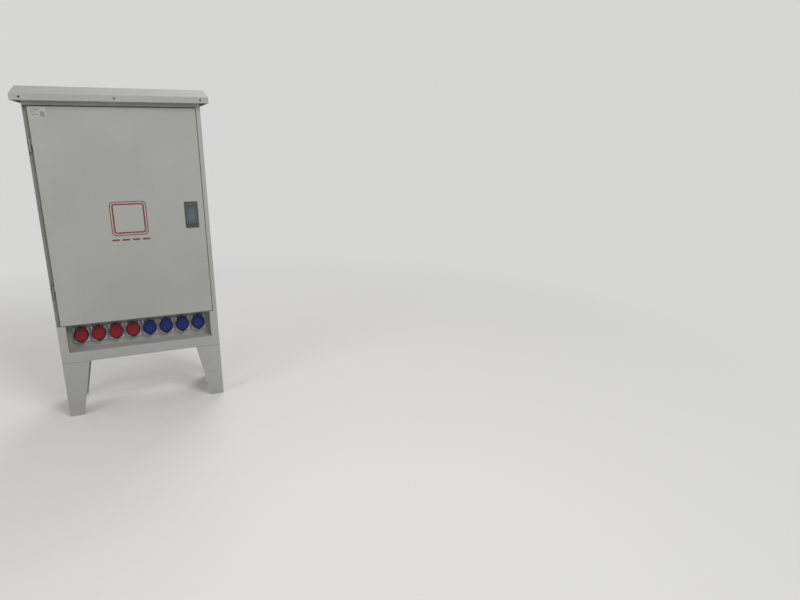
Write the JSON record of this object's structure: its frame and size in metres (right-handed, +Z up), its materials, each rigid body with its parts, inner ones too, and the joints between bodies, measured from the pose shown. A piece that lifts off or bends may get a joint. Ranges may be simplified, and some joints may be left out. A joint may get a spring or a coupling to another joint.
{
  "type": "temporary power distribution box",
  "caption": "Floor-standing sheet-steel power distribution cabinet on four tapered legs, with a gable rain roof, a hinged locking door and a bay of lidded industrial sockets.",
  "frame": {"origin": "on the floor, under the middle of the cabinet", "axes": "+Z up, +X to the right of someone who faces the door, and -Y out of the door"},
  "size_m": [0.88, 0.4, 1.6919],
  "materials": {
    "grey_paint": "textured light grey powder coat",
    "zinc_plate": "bright zinc plate",
    "lock_grey": "moulded dark grey",
    "lock_black": "moulded black",
    "red_plastic": "moulded red",
    "blue_plastic": "moulded blue",
    "socket_grey": "moulded grey",
    "black_rubber": "soft black",
    "brass": "plain turned brass",
    "copper": "plain copper bar",
    "breaker_white": "moulded off-white",
    "main_black": "moulded black",
    "toggle_black": "moulded black",
    "duct_grey": "extruded grey",
    "insulator_red": "moulded brown-red",
    "wire_black": "cable insulation"
  },
  "bodies": {
    "cabinet": {"side_panel_left": "grey_paint", "side_panel_right": "grey_paint", "rear_panel": "grey_paint", "top_panel": "grey_paint", "bottom_panel": "grey_paint", "front_frame": "grey_paint", "socket_panel": "grey_paint", "rain_roof": "grey_paint", "roof_brackets": "grey_paint", "leg_front_left": "grey_paint", "leg_front_right": "grey_paint", "leg_rear_left": "grey_paint", "leg_rear_right": "grey_paint", "foot_plates": "grey_paint", "mounting_plate": "zinc_plate", "din_rails": "zinc_plate", "plate_studs": "zinc_plate", "leg_bolts": "zinc_plate", "roof_bolts": "zinc_plate", "hinge_frame_leaves": "zinc_plate", "socket_pins_and_screws": "zinc_plate", "red_sockets": "socket_grey", "blue_sockets": "socket_grey", "socket_carriers": "socket_grey", "socket_gaskets": "black_rubber", "entry_grommet": "black_rubber", "socket_contacts": "brass", "terminal_bars": "brass", "busbars": "copper", "red_breakers": "breaker_white", "blue_breakers": "breaker_white", "main_breaker": "main_black", "wiring_ducts": "duct_grey", "busbar_supports": "insulator_red", "internal_wiring": "wire_black"},
    "door": {"door_panel": "grey_paint", "door_stiffeners": "grey_paint", "door_gasket": "black_rubber", "hinge_door_leaves": "zinc_plate", "lock_body": "lock_grey"},
    "red_lid_1": {"red_lid_1": "red_plastic"},
    "red_lid_2": {"red_lid_2": "red_plastic"},
    "red_lid_3": {"red_lid_3": "red_plastic"},
    "red_lid_4": {"red_lid_4": "red_plastic"},
    "blue_lid_1": {"blue_lid_1": "blue_plastic"},
    "blue_lid_2": {"blue_lid_2": "blue_plastic"},
    "blue_lid_3": {"blue_lid_3": "blue_plastic"},
    "blue_lid_4": {"blue_lid_4": "blue_plastic"},
    "red_toggle_1": {"red_toggle_1": "toggle_black"},
    "red_toggle_2": {"red_toggle_2": "toggle_black"},
    "red_toggle_3": {"red_toggle_3": "toggle_black"},
    "red_toggle_4": {"red_toggle_4": "toggle_black"},
    "blue_toggle_1": {"blue_toggle_1": "toggle_black"},
    "blue_toggle_2": {"blue_toggle_2": "toggle_black"},
    "blue_toggle_3": {"blue_toggle_3": "toggle_black"},
    "blue_toggle_4": {"blue_toggle_4": "toggle_black"},
    "main_lever": {"main_lever": "toggle_black"},
    "lock_flap": {"lock_flap": "lock_grey"},
    "lock_button": {"lock_button": "lock_black"},
    "lock_latch": {"lock_latch": "zinc_plate"}
  },
  "joints": [
    {"name": "door_hinge", "type": "hinge", "parent": "cabinet", "child": "door", "pos_m": [-0.39, -0.156, 1.05], "axis": [0, 0, -1], "range_deg": [0, 110]},
    {"name": "lock_flap_hinge", "type": "hinge", "parent": "door", "child": "lock_flap", "pos_m": [0.3115, -0.158, 1.0006], "axis": [1, 0, 0], "range_deg": [0, 50], "stiffness_Nm_per_rad": 0.05, "springref_deg": -17.19},
    {"name": "lock_button_push", "type": "slide", "parent": "door", "child": "lock_button", "axis": [0, 1, 0], "range_m": [0, 0.004], "stiffness_N_per_m": 400},
    {"name": "lock_latch_slide", "type": "slide", "parent": "door", "child": "lock_latch", "axis": [-1, 0, 0], "range_m": [0, 0.016]},
    {"name": "red_lid_1_hinge", "type": "hinge", "parent": "cabinet", "child": "red_lid_1", "pos_m": [-0.2975, -0.1035, 0.471], "axis": [-1, 0, 0], "range_deg": [0, 95], "stiffness_Nm_per_rad": 0.02, "springref_deg": -28.65},
    {"name": "red_lid_2_hinge", "type": "hinge", "parent": "cabinet", "child": "red_lid_2", "pos_m": [-0.2125, -0.1035, 0.471], "axis": [-1, 0, 0], "range_deg": [0, 95], "stiffness_Nm_per_rad": 0.02, "springref_deg": -28.65},
    {"name": "red_lid_3_hinge", "type": "hinge", "parent": "cabinet", "child": "red_lid_3", "pos_m": [-0.1275, -0.1035, 0.471], "axis": [-1, 0, 0], "range_deg": [0, 95], "stiffness_Nm_per_rad": 0.02, "springref_deg": -28.65},
    {"name": "red_lid_4_hinge", "type": "hinge", "parent": "cabinet", "child": "red_lid_4", "pos_m": [-0.0425, -0.1035, 0.471], "axis": [-1, 0, 0], "range_deg": [0, 95], "stiffness_Nm_per_rad": 0.02, "springref_deg": -28.65},
    {"name": "blue_lid_1_hinge", "type": "hinge", "parent": "cabinet", "child": "blue_lid_1", "pos_m": [0.0425, -0.1035, 0.471], "axis": [-1, 0, 0], "range_deg": [0, 95], "stiffness_Nm_per_rad": 0.02, "springref_deg": -28.65},
    {"name": "blue_lid_2_hinge", "type": "hinge", "parent": "cabinet", "child": "blue_lid_2", "pos_m": [0.1275, -0.1035, 0.471], "axis": [-1, 0, 0], "range_deg": [0, 95], "stiffness_Nm_per_rad": 0.02, "springref_deg": -28.65},
    {"name": "blue_lid_3_hinge", "type": "hinge", "parent": "cabinet", "child": "blue_lid_3", "pos_m": [0.2125, -0.1035, 0.471], "axis": [-1, 0, 0], "range_deg": [0, 95], "stiffness_Nm_per_rad": 0.02, "springref_deg": -28.65},
    {"name": "blue_lid_4_hinge", "type": "hinge", "parent": "cabinet", "child": "blue_lid_4", "pos_m": [0.2975, -0.1035, 0.471], "axis": [-1, 0, 0], "range_deg": [0, 95], "stiffness_Nm_per_rad": 0.02, "springref_deg": -28.65},
    {"name": "red_toggle_1_hinge", "type": "hinge", "parent": "cabinet", "child": "red_toggle_1", "pos_m": [-0.144, 0.0595, 1.065], "axis": [1, 0, 0], "range_deg": [0, 50]},
    {"name": "red_toggle_2_hinge", "type": "hinge", "parent": "cabinet", "child": "red_toggle_2", "pos_m": [-0.048, 0.0595, 1.065], "axis": [1, 0, 0], "range_deg": [0, 50]},
    {"name": "red_toggle_3_hinge", "type": "hinge", "parent": "cabinet", "child": "red_toggle_3", "pos_m": [0.048, 0.0595, 1.065], "axis": [1, 0, 0], "range_deg": [0, 50]},
    {"name": "red_toggle_4_hinge", "type": "hinge", "parent": "cabinet", "child": "red_toggle_4", "pos_m": [0.144, 0.0595, 1.065], "axis": [1, 0, 0], "range_deg": [0, 50]},
    {"name": "blue_toggle_1_hinge", "type": "hinge", "parent": "cabinet", "child": "blue_toggle_1", "pos_m": [-0.144, 0.0595, 0.865], "axis": [1, 0, 0], "range_deg": [0, 50]},
    {"name": "blue_toggle_2_hinge", "type": "hinge", "parent": "cabinet", "child": "blue_toggle_2", "pos_m": [-0.048, 0.0595, 0.865], "axis": [1, 0, 0], "range_deg": [0, 50]},
    {"name": "blue_toggle_3_hinge", "type": "hinge", "parent": "cabinet", "child": "blue_toggle_3", "pos_m": [0.048, 0.0595, 0.865], "axis": [1, 0, 0], "range_deg": [0, 50]},
    {"name": "blue_toggle_4_hinge", "type": "hinge", "parent": "cabinet", "child": "blue_toggle_4", "pos_m": [0.144, 0.0595, 0.865], "axis": [1, 0, 0], "range_deg": [0, 50]},
    {"name": "main_lever_hinge", "type": "hinge", "parent": "cabinet", "child": "main_lever", "pos_m": [0, 0.05, 1.38], "axis": [1, 0, 0], "range_deg": [0, 40]}
  ],
  "couplings": [
    {"joint": "lock_latch_slide", "follows": "lock_flap_hinge", "m_per_rad": 0.0183}
  ]
}
